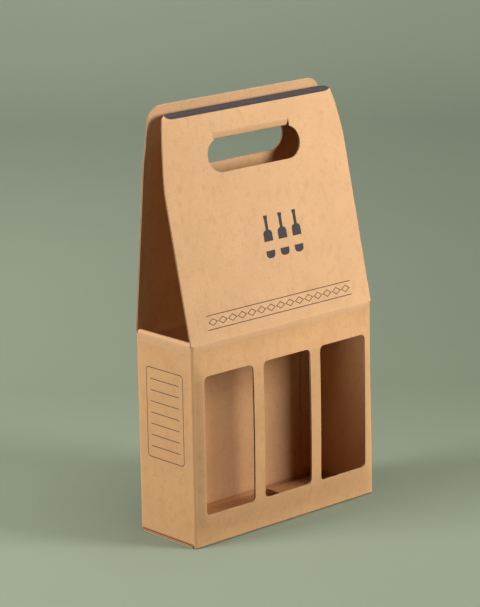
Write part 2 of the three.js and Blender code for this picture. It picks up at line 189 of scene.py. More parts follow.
class KraftFinish(bpy.types.PropertyGroup):
    """Colours of the paper and the print."""

    outer: in_levels("Outer paper", "Kraft paper outside", 219, 172, 125)
    # Wall paper is the outer paper made warmer, as painted shade: the warmer tone that the walls take in
    # their shade
    walls: in_levels("Wall paper", "Kraft paper outside the walls", 219, 168, 116)
    inner: in_levels("Inner paper", "Kraft paper inside", 205, 156, 110)
    # Base paper is painted shade: the inner paper darkened for the shade that lies on the base and its
    # flaps inside the box
    base: in_levels("Base paper", "Kraft paper inside, on the base and its flaps", 180, 128, 84)
    edge: in_levels("Cut edge", "Paper at a cut edge", 224, 186, 145)
    flute: in_levels("Fluted layer", "Wavy middle paper", 176, 130, 90)
    ink: in_levels("Ink", "Slate printing ink", 65, 60, 60)


class StageLook(bpy.types.PropertyGroup):
    """Floor, lamps and camera."""

    floor: in_levels("Floor", "Floor round the box", 139, 148, 127)
    backdrop: in_levels("Backdrop", "Floor and backdrop behind", 229, 242, 213)
    bounce: FloatProperty(
        name="Bounce", description="Share of the floor's colour that it throws back on the box",
        default=0.3, min=0, max=1, subtype="FACTOR",
    )
    glow: FloatProperty(
        name="Backdrop glow", description="Brightness added to the far backdrop, in the picture only",
        default=0.11,
    )
    key: in_watts("Key lamp", "Power of the front lamp", 10.4)
    top: in_watts("Top lamp", "Power of the overhead lamp", 14.0)
    fill: in_watts("Fill lamp", "Power of the left lamp", 30.0)
    ambient: FloatProperty(
        name="Ambient", description="Strength of the surrounding light", default=0.012
    )
    lens: FloatProperty(name="Lens", description="Focal length", default=162.39, unit="CAMERA")
    distance: in_metres("Distance", "Camera to its target", 2.12643)
    azimuth: in_degrees("Azimuth", "Camera's turn from the front", -42.116)
    elevation: in_degrees("Elevation", "Camera's height angle", 14.861)
    roll: in_degrees("Roll", "Camera's turn about its view", -1.012)
    target: FloatVectorProperty(
        name="Target", description="Point in the picture's middle",
        default=(-0.015884, 0, 0.174099), unit="LENGTH",
    )


class GiftBoxSettings(bpy.types.PropertyGroup):
    """All that a user would change."""

    board: PointerProperty(type=BoardSizes)
    finish: PointerProperty(type=KraftFinish)
    stage: PointerProperty(type=StageLook)


def smooth(low, high, x):
    """Smooth step from 0 at low to 1 at high."""
    t = np.clip((x - low) / (high - low), 0, 1)
    return t * t * (3 - 2 * t)


class Fold:
    """Path of a board's outer face over its creases, in one plane.

    The board lies to the left of the path (side 1) or to its right (side -1). A step is
    ("run", length) or ("bend", angle, radius), with the angle positive towards the board.
    """

    def __init__(self, start, heading, side, steps):
        self.side = side
        self.parts = []
        point, angle, length = np.array(start, float), heading, 0.0
        for kind, size, *radius in steps:
            turn = 0.0
            reach = size
            if kind == "bend":
                reach = abs(size) * radius[0]
                turn = side * size / reach
            self.parts.append((length, length + reach, point, angle, turn))
            point = self._walk(point, angle, turn, np.array([reach]))[0][0]
            angle += turn * reach
            length += reach
        self.length = length

    def run_on(self, length):
        """The same path with a straight run at its end, to a whole length."""
        begin, end, point, angle, turn = self.parts[-1]
        last, headings = self._walk(point, angle, turn, np.array([end - begin]))
        self.parts.append((end, length, last[0], headings[0], 0.0))
        self.length = length
        return self

    def _walk(self, point, angle, turn, run):
        """Points and headings after runs along one part of the path."""
        if turn == 0:
            ahead = np.array([math.cos(angle), math.sin(angle)])
            headings = np.full(len(run), angle)
            return point + run[:, None] * ahead, headings
        headings = angle + turn * run
        path = np.stack([np.sin(headings) - math.sin(angle), math.cos(angle) - np.cos(headings)], 1)
        return point + path / turn, headings

    def at(self, along):
        """Points and outward normals at distances along the path."""
        points = np.zeros((len(along), 2))
        normals = np.zeros((len(along), 2))
        last = len(self.parts) - 1
        for i, (begin, end, point, angle, turn) in enumerate(self.parts):
            here = (along >= begin) if i else np.ones(len(along), bool)
            if i < last:
                here &= along < end
            where, headings = self._walk(point, angle, turn, along[here] - begin)
            points[here] = where
            normals[here] = self.side * np.stack([np.sin(headings), -np.cos(headings)], 1)
        return points, normals

    def lines(self, spacing):
        """Distances along the path for the mesh's rows: close together in a bend."""
        marks = {0.0, self.length}
        for begin, end, _, _, turn in self.parts:
            if turn:
                count = max(2, math.ceil(abs(turn) * (end - begin) / BEND_STEP))
                marks.update(np.linspace(begin, end, count + 1))
                beside = (begin - BESIDE_BEND, end + BESIDE_BEND)
                marks.update(mark for mark in beside if 0 < mark < self.length)
            else:
                count = max(1, math.ceil((end - begin) / spacing))
                marks.update(np.linspace(begin, end, count + 1))
        kept = []
        for mark in sorted(marks):
            if not kept or mark - kept[-1] > LEAST_ROW:
                kept.append(mark)
        return np.array(kept)

    def crease(self, along):
        """1 inside a bend, falling to 0 over 2 mm beside it."""
        near = np.zeros(len(along))
        for begin, end, _, _, turn in self.parts:
            if turn:
                gap = np.maximum(np.maximum(begin - along, along - end), 0)
                near = np.maximum(near, 1 - np.clip(gap / 2, 0, 1))
        return near


def rounded(corners, segments=6):
    """Closed outline through corners (x, y) or (x, y, fillet radius)."""
    points = []
    count = len(corners)
    for i, corner in enumerate(corners):
        here = np.array(corner[:2], float)
        radius = corner[2] if len(corner) > 2 else 0
        if not radius:
            points.append(here)
            continue
        back = np.array(corners[i - 1][:2], float) - here
        ahead = np.array(corners[(i + 1) % count][:2], float) - here
        back /= np.linalg.norm(back)
        ahead /= np.linalg.norm(ahead)
        half = math.acos(np.clip(back @ ahead, -1, 1)) / 2
        middle = (back + ahead) / np.linalg.norm(back + ahead)
        centre = here + middle * radius / math.sin(half)
        first = here + back * radius / math.tan(half) - centre
        last = here + ahead * radius / math.tan(half) - centre
        for share in np.linspace(0, 1, segments + 1):
            spoke = first * math.cos(share * (math.pi / 2 - half)) * (1 - share) + last * share
            points.append(centre + spoke / np.linalg.norm(spoke) * radius)
    return np.array(points)


def arc(centre, radius, start, end, segments):
    """Points of an arc, both ends counted."""
    turn = np.linspace(start, end, segments + 1)
    return np.stack([centre[0] + radius * np.cos(turn), centre[1] + radius * np.sin(turn)], 1)


def on_grid(loop, columns, rows):
    """The loop with a point wherever one of its edges crosses a line of the grid."""
    points = []
    for a, b in zip(loop, np.roll(loop, -1, axis=0)):
        shares = [0.0]
        for axis, marks in ((0, columns), (1, rows)):
            span = b[axis] - a[axis]
            if abs(span) > 1e-6:
                shares.extend(s for s in (marks - a[axis]) / span if 0 < s < 1)
        long = np.linalg.norm(b - a)
        last = None
        for share in sorted(shares):
            if last is None or min(share - last, 1 - share) * long > LEAST_EDGE:
                points.append(a + share * (b - a))
                last = share
    return np.array(points)


def inside(points, loops):
    """Which points are inside an odd number of the loops."""
    odd = np.zeros(len(points), bool)
    x, y = points[:, 0], points[:, 1]
    for loop in loops:
        for (ax, ay), (bx, by) in zip(loop, np.roll(loop, -1, axis=0)):
            if ay != by:
                crosses = (ay > y) != (by > y)
                odd ^= crosses & (x < (bx - ax) * (y - ay) / (by - ay) + ax)
    return odd


def from_edges(points, loops):
    """Distance of each point from the nearest edge of the loops."""
    nearest = np.full(len(points), 1e9)
    for loop in loops:
        for a, b in zip(loop, np.roll(loop, -1, axis=0)):
            ab = b - a
            share = np.clip(((points - a) @ ab) / max(ab @ ab, 1e-12), 0, 1)
            gap = np.linalg.norm(points - a - share[:, None] * ab, axis=1)
            nearest = np.minimum(nearest, gap)
    return nearest


def cut_sheet(loops, columns, rows):
    """Points and triangles of a flat sheet inside its outline and outside its holes."""
    loops = [on_grid(loop, columns, rows) for loop in loops]
    grid = np.stack(np.meshgrid(columns, rows), -1).reshape(-1, 2)
    grid = grid[inside(grid, loops)]
    grid = grid[from_edges(grid, loops) > EDGE_CLEARANCE]
    points, edges = [], []
    for loop in loops:
        first = len(points)
        points.extend(loop)
        edges.extend((first + i, first + (i + 1) % len(loop)) for i in range(len(loop)))
    points.extend(grid)
    flat, _, faces, *_ = delaunay_2d_cdt([Vector(p) for p in points], edges, [], 0, 1e-5)
    flat = np.array([tuple(p) for p in flat])
    faces = np.array(faces)
    return flat, faces[inside(flat[faces].mean(1), loops)]


def edge_loops(faces):
    """Edges that one triangle has, each with the sheet on its left."""
    count = {}
    for a, b, c in faces:
        for edge in ((a, b), (b, c), (c, a)):
            count[edge] = count.get(edge, 0) + 1
    return [edge for edge in count if (edge[1], edge[0]) not in count]


def rim_of(flat, edges):
    """Points on the cut edges: their places in the sheet, their order, and the way inward at each."""
    rim = sorted({i for edge in edges for i in edge})
    order = {vertex: i for i, vertex in enumerate(rim)}
    inward = np.zeros((len(rim), 2))
    for a, b in edges:
        run = flat[b] - flat[a]
        left = np.array([-run[1], run[0]]) / max(np.linalg.norm(run), 1e-9)
        inward[order[a]] += left
        inward[order[b]] += left
    inward /= np.maximum(np.linalg.norm(inward, axis=1), 1e-9)[:, None]
    return rim, order, inward


def board_polygons(faces, edges, sheet, order):
    """Polygons of both papers and of the cut edges, and the material slot of each."""
    polygons = [tuple(face) for face in faces]
    polygons += [tuple(face[::-1] + sheet) for face in faces]
    kinds = [OUTER] * len(faces) + [INNER] * len(faces)
    rings = [2 * sheet + ring * len(order) for ring in range(4)]
    for a, b in edges:
        steps_a = [a] + [ring + order[a] for ring in rings] + [a + sheet]
        steps_b = [b] + [ring + order[b] for ring in rings] + [b + sheet]
        for step in range(5):
            polygons.append((steps_a[step + 1], steps_b[step + 1], steps_b[step], steps_a[step]))
            kinds.append(FLUTED if step == 2 else CUT)
    return polygons, kinds


def board(context, name, loops, fold, plane, columns, materials, flutes_along=0, shift=None, spacing=6):
    """Makes one piece of corrugated board, folded over its creases.

    The flat sheet has the axis that leaves the fold's plane first and the path's length
    second. plane holds the row axes of the fold's plane. flutes_along says which of the two
    flat directions the flutes follow. shift moves points given in millimetres.
    """
    sizes = context.scene.gift_box.board
    liner, groove = sizes.liner / MM, sizes.groove / MM
    flat, faces = cut_sheet(loops, columns, fold.lines(spacing))

    def place(at, depth):
        section, normal = fold.at(at[:, 1])
        section = section - normal * depth
        where = np.empty((len(at), 3))
        where[:, plane[0]] = section[:, 0]
        where[:, plane[1]] = section[:, 1]
        where[:, 3 - sum(plane)] = at[:, 0]
        if shift:
            where += shift(where, at)
        return where

    edges = edge_loops(faces)
    rim, order, inward = rim_of(flat, edges)
    rim_flat = flat[rim]
    set_back = rim_flat + inward * groove
    rings = [(flat, 0), (flat, BOARD), (rim_flat, liner), (set_back, liner)]
    rings += [(set_back, BOARD - liner), (rim_flat, BOARD - liner)]
    points = np.concatenate([place(at, depth) for at, depth in rings])
    flats = np.concatenate([np.column_stack([at, np.full(len(at), depth)]) for at, depth in rings])
    polygons, kinds = board_polygons(faces, edges, len(flat), order)
    probe = faces[len(faces) // 2]
    a, b, c = points[probe]
    outward = points[probe[0]] - points[probe[0] + len(flat)]
    if np.cross(b - a, c - a) @ outward < 0:
        polygons = [polygon[::-1] for polygon in polygons]

    mesh = bpy.data.meshes.new(name)
    mesh.from_pydata((points * MM).tolist(), [], polygons)
    mesh.polygons.foreach_set("material_index", kinds)
    mesh.polygons.foreach_set("use_smooth", [True] * len(polygons))
    mesh.set_sharp_from_angle(angle=math.radians(35))
    creased = fold.crease(flats[:, 1])
    if flutes_along:
        flats = flats[:, [1, 0, 2]]
    attribute = mesh.attributes.new("flat", "FLOAT_VECTOR", "POINT")
    attribute.data.foreach_set("vector", flats.astype(np.float32).ravel())
    attribute = mesh.attributes.new("crease", "FLOAT", "POINT")
    attribute.data.foreach_set("value", creased.astype(np.float32))
    for material in materials:
        mesh.materials.append(material)
    mesh.validate()
    obj = bpy.data.objects.new(name, mesh)
    context.collection.objects.link(obj)
    return obj


class Shader:
    """Short ways to add and link the nodes of one material."""

    def __init__(self, name):
        self.material = bpy.data.materials.new(name)
        self.material.use_nodes = True
        self.nodes = self.material.node_tree.nodes
        self.link = self.material.node_tree.links.new
        self.bsdf = self.nodes["Principled BSDF"]

    def add(self, kind, inputs=None, **settings):
        node = self.nodes.new(kind)
        for key, value in settings.items():
            setattr(node, key, value)
        for key, value in (inputs or {}).items():
            if isinstance(value, bpy.types.NodeSocket):
                self.link(value, node.inputs[key])
            else:
                node.inputs[key].default_value = value
        return node

    def math(self, operation, *values):
        return self.add("ShaderNodeMath", dict(enumerate(values)), operation=operation).outputs[0]

    def vector(self, operation, *values):
        node = self.add("ShaderNodeVectorMath", dict(enumerate(values)), operation=operation)
        return node.outputs["Value" if operation in ("LENGTH", "DOT_PRODUCT") else "Vector"]

    def attribute(self, name, output="Vector"):
        return self.add("ShaderNodeAttribute", attribute_name=name).outputs[output]

    def split(self, vector):
        return self.add("ShaderNodeSeparateXYZ", {"Vector": vector}).outputs

    def noise(self, vector, scale, detail=3.0, roughness=0.5):
        inputs = {"Vector": vector, "Scale": scale, "Detail": detail, "Roughness": roughness}
        return self.add("ShaderNodeTexNoise", inputs).outputs["Fac"]

    def ranged(self, value, low, high, to_low=0.0, to_high=1.0):
        inputs = {"Value": value, 1: low, 2: high, 3: to_low, 4: to_high}
        return self.add("ShaderNodeMapRange", inputs, clamp=True).outputs[0]

    def mix(self, share, a, b, blend="MIX"):
        node = self.nodes.new("ShaderNodeMix")
        node.data_type = "RGBA"
        node.blend_type = blend
        for socket, value in zip((node.inputs[0], node.inputs[6], node.inputs[7]), (share, a, b)):
            if isinstance(value, bpy.types.NodeSocket):
                self.link(value, socket)
            else:
                socket.default_value = value
        return node.outputs[2]

    def paper(self, base, specular, height, strength, distance):
        """The material, with its colour and bump linked and its gloss set."""
        self.link(base, self.bsdf.inputs["Base Color"])
        self.bsdf.inputs["Specular IOR Level"].default_value = specular
        relief = {"Height": height, "Strength": strength, "Distance": distance}
        bump = self.add("ShaderNodeBump", relief)
        self.link(bump.outputs[0], self.bsdf.inputs["Normal"])
        return self.material


def rgba(colour, level=1.0):
    """A colour for a node's socket, lighter or darker by a level."""
    return (*(min(1.0, part * level) for part in colour), 1.0)


def in_box(shader, flat, centre, half, radius):
    """Signed distance in millimetres to a rounded box on the flat sheet."""
    from_centre = shader.vector("SUBTRACT", flat, (*centre, 0))
    on_sheet = shader.vector("ABSOLUTE", shader.vector("MULTIPLY", from_centre, (1, 1, 0)))
    past = shader.vector("SUBTRACT", on_sheet, (half[0] - radius, half[1] - radius, 0))
    outer = shader.vector("LENGTH", shader.vector("MAXIMUM", past, (0, 0, 0)))
    x, y, _ = shader.split(past)
    inner = shader.math("MINIMUM", shader.math("MAXIMUM", x, y), 0.0)
    return shader.math("SUBTRACT", shader.math("ADD", outer, inner), radius)


def filled(shader, distance, soft=0.12):
    """1 where a signed distance is negative."""
    return shader.ranged(distance, -soft, soft, 1.0, 0.0)


def stroked(shader, distance, width, soft=0.12):
    """1 along a signed distance's zero line."""
    off = shader.math("ABSOLUTE", distance)
    return shader.ranged(off, width / 2 - soft, width / 2 + soft, 1.0, 0.0)


def largest(shader, marks):
    """Several ink masks as one."""
    total = marks[0]
    for mark in marks[1:]:
        total = shader.math("MAXIMUM", total, mark)
    return total


def roll_band(shader, flat):
    """Plain band on the rolled fold."""
    middle, half_length, corner = 1.9, 86.5, 3.4
    half = math.pi * ROLL_RADIUS / 2 + 0.25
    squeeze = 0.4  # draws the band's corners out along the roll
    squeezed = shader.vector("MULTIPLY", flat, (squeeze, 1, 1))
    centre = (middle * squeeze, STRIP + FRONT_LENGTH + half - 0.5)
    return filled(shader, in_box(shader, squeezed, centre, (half_length * squeeze, half), corner))


def diamond_row(shader, flat):
    """Row of diamonds between two rules."""
    level, pitch, rule_gap = STRIP + 15, 10, 5.4
    half_width, half_height, line = 4.2, 2.6, 0.6
    x, t, _ = shader.split(flat)
    across = shader.math("DIVIDE", shader.math("PINGPONG", x, pitch / 2), half_width)
    off = shader.math("ABSOLUTE", shader.math("SUBTRACT", t, level))
    up = shader.math("DIVIDE", off, half_height)
    past = shader.math("SUBTRACT", shader.math("ADD", across, up), 1.0)
    diamond = shader.math("MULTIPLY", past, 2.2)  # about millimetres
    row = in_box(shader, flat, (0, level), (75, 3.2), 0.1)
    marks = [shader.math("MULTIPLY", stroked(shader, diamond, line), filled(shader, row))]
    for height in (level - rule_gap, level + rule_gap):
        marks.append(filled(shader, in_box(shader, flat, (0, height), (76, 0.32), 0.2)))
    return largest(shader, marks)


def three_bottles(shader, flat):
    """Three plain bottles, each with a gap for its label."""
    pitch, middle, foot = 15, 14, STRIP + 52
    # Height of the middle above the foot, half sizes and corner radius
    body, neck, lip = (11, (4.6, 11), 3.4), (25, (1.55, 7), 0.6), (32, (2.0, 1.3), 0.6)
    label = (9.5, (4.7, 3.6), 0.2)
    x, t, depth = shader.split(flat)
    steps = shader.math("WRAP", shader.math("SUBTRACT", x, middle), pitch / 2, -pitch / 2)
    local = shader.add("ShaderNodeCombineXYZ", {0: steps, 1: t, 2: depth}).outputs[0]

    def part(height, half, radius):
        return in_box(shader, local, (0, foot + height), half, radius)

    bottle = part(*body)
    for shape in (neck, lip):
        bottle = shader.math("MINIMUM", bottle, part(*shape))
    bottle = shader.math("MAXIMUM", bottle, shader.math("MULTIPLY", part(*label), -1.0))
    three = in_box(shader, flat, (middle, foot + 16), (1.5 * pitch, 20), 0.1)
    return shader.math("MULTIPLY", filled(shader, bottle), filled(shader, three))


def handle_print(shader, flat):
    """Print on the front handle panel."""
    return largest(shader, [make(shader, flat) for make in (roll_band, diamond_row, three_bottles)])


def wall_print(shader, flat):
    """Print on the left wall: a blank note with ruled lines."""
    centre, half, corner = (LEFT_WALL_MIDDLE, 100), (21, 36), 3
    ruled_half, pitch, line = (16.5, 30), 9, 0.6
    border = stroked(shader, in_box(shader, flat, centre, half, corner), line)
    _, z, _ = shader.split(flat)
    off = shader.math("PINGPONG", shader.math("SUBTRACT", z, centre[1]), pitch / 2)
    lines = shader.ranged(off, 0.2, 0.4, 1.0, 0.0)
    ruled = filled(shader, in_box(shader, flat, centre, ruled_half, 0.1))
    return largest(shader, [border, shader.math("MULTIPLY", lines, ruled)])


def kraft(context, name, tint, ink=None, seed=0.0):
    """Kraft paper: mottled fibres, faint flutes below the surface, and ink where a print is given."""
    look = context.scene.gift_box.finish
    pitch = context.scene.gift_box.board.flute_pitch / MM
    warm = (tint[0], tint[1] * 0.94, tint[2] * 0.86)
    shader = Shader(name)
    flat = shader.attribute("flat")
    shifted = shader.vector("ADD", flat, (seed, seed * 0.7, seed * 1.3))
    cloud = shader.noise(shifted, 0.035, 4.0, 0.55)
    smudge = shader.noise(shader.vector("MULTIPLY", shifted, (1.0, 0.6, 1.0)), 0.19, 2.0, 0.45)
    pulp = shader.noise(shifted, 0.55, 3.0, 0.6)
    fibre = shader.noise(shader.vector("MULTIPLY", shifted, (0.35, 1.6, 1.0)), 1.1, 2.0, 0.5)
    speck = shader.noise(shader.vector("MULTIPLY", shifted, (1.0, 0.45, 1.0)), 0.62, 1.0, 0.4)
    base = shader.mix(shader.ranged(cloud, 0.3, 0.7), rgba(tint, 0.95), rgba(tint, 1.05))
    base = shader.mix(shader.ranged(smudge, 0.52, 0.72, 0.0, 0.6), base, rgba(warm, 0.88))
    base = shader.mix(shader.ranged(pulp, 0.35, 0.68, 0.0, 0.45), base, rgba(tint, 0.86))
    base = shader.mix(shader.ranged(fibre, 0.62, 0.78, 0.0, 0.45), base, rgba(tint, 1.13))
    base = shader.mix(shader.ranged(speck, 0.71, 0.78, 0.0, 0.36), base, rgba(warm, 0.62))
    # Lighter along the creases, mottled: partly wear of the folded paper, partly a painted highlight on
    # the bends
    rubbed_and_lit = shader.ranged(pulp, 0.3, 0.75, 0.05, 0.55)
    wear_and_highlight = shader.math("MULTIPLY", shader.attribute("crease", "Fac"), rubbed_and_lit)
    base = shader.mix(wear_and_highlight, base, rgba(tint, 1.2))
    if ink:
        thin = shader.ranged(fibre, 0.55, 0.85, 1.0, 0.82)
        base = shader.mix(shader.math("MULTIPLY", ink(shader, flat), thin), base, rgba(look.ink))
    shader.link(shader.ranged(pulp, 0.3, 0.7, 0.74, 0.9), shader.bsdf.inputs["Roughness"])
    _, across, _ = shader.split(flat)
    ribs = shader.math("SINE", shader.math("MULTIPLY", across, 2 * math.pi / pitch))
    height = shader.math("ADD", shader.math("MULTIPLY", ribs, 0.12), shader.math("MULTIPLY", pulp, 0.5))
    height = shader.math("ADD", height, shader.math("MULTIPLY", fibre, 0.35))
    return shader.paper(base, specular=0.3, height=height, strength=0.35, distance=0.00012)


def raw_edge(context, name):
    """Paper at a cut edge: paler, with a torn grain."""
    look = context.scene.gift_box.finish
    shader = Shader(name)
    grain = shader.noise(shader.attribute("flat"), 2.2, 3.0, 0.6)
    base = shader.mix(shader.ranged(grain, 0.35, 0.7), rgba(look.edge, 0.85), rgba(look.edge, 1.06))
    shader.bsdf.inputs["Roughness"].default_value = 0.92
    return shader.paper(base, specular=0.2, height=grain, strength=0.4, distance=0.0001)


def fluted_edge(context, name, hollow_shade):
    """Fluted middle layer at a cut edge: one wave of paper between hollows darkened as painted shade."""
    look = context.scene.gift_box.finish
    sizes = context.scene.gift_box.board
    shader = Shader(name)
    flat = shader.attribute("flat")
    _, across, depth = shader.split(flat)
    swing = shader.math("SINE", shader.math("MULTIPLY", across, 2 * math.pi * MM / sizes.flute_pitch))
    middle = shader.math("MULTIPLY_ADD", swing, 0.28, BOARD / 2)
    off = shader.math("ABSOLUTE", shader.math("SUBTRACT", depth, middle))
    wave = shader.ranged(off, 0.12, 0.24, 1.0, 0.0)
    grain = shader.noise(flat, 2.0, 2.0, 0.5)
    lit = shader.mix(shader.ranged(grain, 0.3, 0.7), rgba(look.flute, 1.0), rgba(look.flute, 1.35))
    # The hollows between the flutes are darkened as painted shade
    base = shader.mix(wave, rgba(look.flute, hollow_shade), lit)
    shader.bsdf.inputs["Roughness"].default_value = 0.95
    return shader.paper(base, specular=0.15, height=wave, strength=0.5, distance=0.0003)


def shared(make, context, name, *inputs):
    """A material by name, made once."""
    return bpy.data.materials.get(name) or make(context, name, *inputs)


def papers(context, outer_name="kraft_outer", tint="outer", ink=None, seed=0.0, lining="inner",
           crushed=False):
    """The four materials of one board piece. A fluted edge has painted shade in the hollows between its
    flutes; a crushed edge has pale hollows, with none.
    """
    look = context.scene.gift_box.finish
    edge, hollow_shade = ("crushed_edge", 1.0) if crushed else ("fluted_edge", 0.35)
    return [
        shared(kraft, context, outer_name, getattr(look, tint), ink, seed),
        shared(kraft, context, f"kraft_{lining}", getattr(look, lining), None, 31.0),
        shared(raw_edge, context, "raw_edge"),
        shared(fluted_edge, context, edge, hollow_shade),
    ]


def spaced(low, high, step, extra=()):
    """Grid marks from low to high, with some places added."""
    marks = np.linspace(low, high, max(2, math.ceil((high - low) / step)) + 1)
    marks = sorted({*marks, *(e for e in extra if low < e < high)})
    kept = [marks[0]]
    kept += [b for a, b in zip(marks, marks[1:]) if b - a > LEAST_COLUMN]
    return np.array(kept)


class GIFTBOX_OT_sleeve(bpy.types.Operator):
    """Makes the four walls and the glue flap as one folded sheet, with the windows"""

    bl_idname = "giftbox.sleeve"
    bl_label = "Sleeve"

    def execute(self, context):
        sizes = context.scene.gift_box.board
        bow, crown = sizes.wall_bow / MM, sizes.wall_crown / MM
        splay = sizes.wall_splay / MM
        mitre = 9  # of the glue flap
        quarter = ("bend", math.pi / 2, CORNER)
        fold = Fold((HALF_WIDTH - CORNER - GLUE_WIDTH, GLUE_FACE), 0, -1, [
            ("run", GLUE_WIDTH), quarter, ("run", RIGHT_WALL), quarter, ("run", FRONT_WALL),
            quarter, ("run", LEFT_WALL), quarter, ("run", FRONT_WALL + CORNER),
        ])
        ends = [part[1] for part in fold.parts]
        side_foot = FLAP_LEVEL + CORNER + FOOT_STRIP
        rear_foot = CORNER + FOOT_STRIP
        front_foot = 0.9  # the base carries the box, so the front wall's cut edge clears the floor
        glue_foot = FLAP_LEVEL + CORNER
        notch = ends[8] - CORNER
        side_top, panel_top = CREASE_Z - RIM_STRIP, CREASE_Z - STRIP
        outline = np.array([
            (glue_foot + mitre, 0), (glue_foot, ends[0]), (FLAP_LEVEL, ends[0]), (FLAP_LEVEL, ends[1]),
            (side_foot, ends[1]), (side_foot, ends[2]), (front_foot, ends[2]), (front_foot, ends[5]),
            (side_foot, ends[5]), (side_foot, ends[6]), (CORNER, ends[6]), (CORNER, ends[7]),
            (rear_foot, ends[7]), (rear_foot, notch), (CORNER, notch), (CORNER, ends[8]),
            (panel_top, ends[8]), (panel_top, ends[7]),
            (WALL_TOP, ends[7]), (WALL_TOP, ends[6]), (side_top, ends[6]), (side_top, ends[5]),
            (WALL_TOP, ends[5]), (WALL_TOP, ends[4]), (panel_top, ends[4]), (panel_top, ends[3]),
            (WALL_TOP, ends[3]), (WALL_TOP, ends[2]), (side_top, ends[2]), (side_top, ends[1]),
            (WALL_TOP, ends[1]), (WALL_TOP, ends[0]), (WALL_TOP - mitre, 0),
        ])
        front_start = ends[3] - CORNER  # where the front wall's sharp corner would be
        windows = []
        for i in range(3):
            left = front_start + WINDOW_MARGIN + i * (WINDOW_WIDTH + WINDOW_PILLAR)
            corners = [(WINDOW_SILL, left), (WINDOW_TOP, left)]
            corners += [(height, left + WINDOW_WIDTH) for height in (WINDOW_TOP, WINDOW_SILL)]
            windows.append(rounded([(*corner, WINDOW_CORNER) for corner in corners]))

        bow_edge = 7.5  # from the corner to where the bow is whole
        splay_width, splay_height, splay_depth = 9, 130, 8

        def bowed(where, at):
            """Bows the front wall out and splays its right corner towards the foot."""
            moved = np.zeros_like(where)
            x, y, z = where.T
            in_front = (y < FRONT + 2 * CORNER) & (np.abs(x) < HALF_WIDTH - BOARD)
            side = smooth(HALF_WIDTH - BOARD, HALF_WIDTH - bow_edge, np.abs(x))
            foot = smooth(CORNER + 1, WINDOW_SILL + 4, z)
            top = smooth(CREASE_Z - STRIP - 0.5, WINDOW_TOP - 6, z)
            rise = np.clip(z / CREASE_Z, 0, 1)
            swell = crown * np.clip(1 - (x / HALF_WIDTH) ** 2, 0, 1) * 4 * rise * (1 - rise)
            moved[:, 1] = -(bow + swell) * side * foot * top * in_front
            corner = splay * smooth(HALF_WIDTH - splay_width, HALF_WIDTH, x)
            moved[:, 0] = corner * smooth(splay_height, 0, z) * smooth(splay_depth, FRONT, y)
            return moved

        # Heights with mesh rows of their own, where the bow sets in and where it ends
        bow_rows = (2, 4, 9, 12, 16, 20, 141, 146, 150, 153, panel_top - 1)
        # The wall paper outside carries painted shade: a warmer tone than the outer paper
        wall = board(
            context, "sleeve", [outline, *windows], fold, (0, 1), spaced(0, CREASE_Z, 6, bow_rows),
            papers(context, "kraft_sleeve", "walls", wall_print, 3.0), flutes_along=1, shift=bowed,
            spacing=5,
        )
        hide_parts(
            "front_panel", "rear_panel", "left_side_panel", "right_side_panel", "glue_flap"
        )
        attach(wall, "carton")
        return {"FINISHED"}


def hole_loop(foot):
    """Hand hole on a handle panel's flat sheet, whose crease lies at foot."""
    centre = foot + HOLE_TOP - HOLE_DROP + HOLE_END_RADIUS
    end = HOLE_HALF_LENGTH - HOLE_END_RADIUS
    meet = math.acos((HOLE_HALF_TOP - end) / HOLE_END_RADIUS)
    left = arc((-end, centre), HOLE_END_RADIUS, math.pi - meet, 1.5 * math.pi, 14)
    right = arc((end, centre), HOLE_END_RADIUS, 1.5 * math.pi, 2 * math.pi + meet, 14)
    top = np.array([(HOLE_HALF_TOP, foot + HOLE_TOP), (-HOLE_HALF_TOP, foot + HOLE_TOP)])
    return np.concatenate([left, right, top])


def shoulder(foot, sweep):
    """Right-hand shoulder of a handle panel, from its straight side inward."""
    centre = (HALF_WIDTH - SHOULDER_RADIUS, foot + SHOULDER_START)
    return arc(centre, SHOULDER_RADIUS, 0, sweep, 10)


def mirrored(points):
    """The same points on the left, in the order that carries the outline on."""
    return points[::-1] * (-1, 1)


def drawn(up, edge):
    """Offset along X at heights above a handle crease."""
    offset, low, high = edge
    return offset * smooth(low, high, up)


def front_drawn(where, at):
    """Draws the front panel's edges along X, as hand folding leaves them."""
    x, up = at[:, 0], at[:, 1] - STRIP
    begin, whole = DRAWN
    left = drawn(up, FRONT_LEFT_EDGE) + drawn(up, FRONT_LEFT_TIP)
    right = drawn(up, FRONT_RIGHT_TIP)
    moved = np.zeros_like(where)
    moved[:, 0] = left * smooth(-begin, -whole, x) + right * smooth(begin, whole, x)
    return moved


def rear_drawn(where, at):
    """Moves the rear panel's top to the left, as hand folding leaves it."""
    moved = np.zeros_like(where)
    moved[:, 0] = drawn(at[:, 1] - STRIP, REAR_TOP)
    return moved


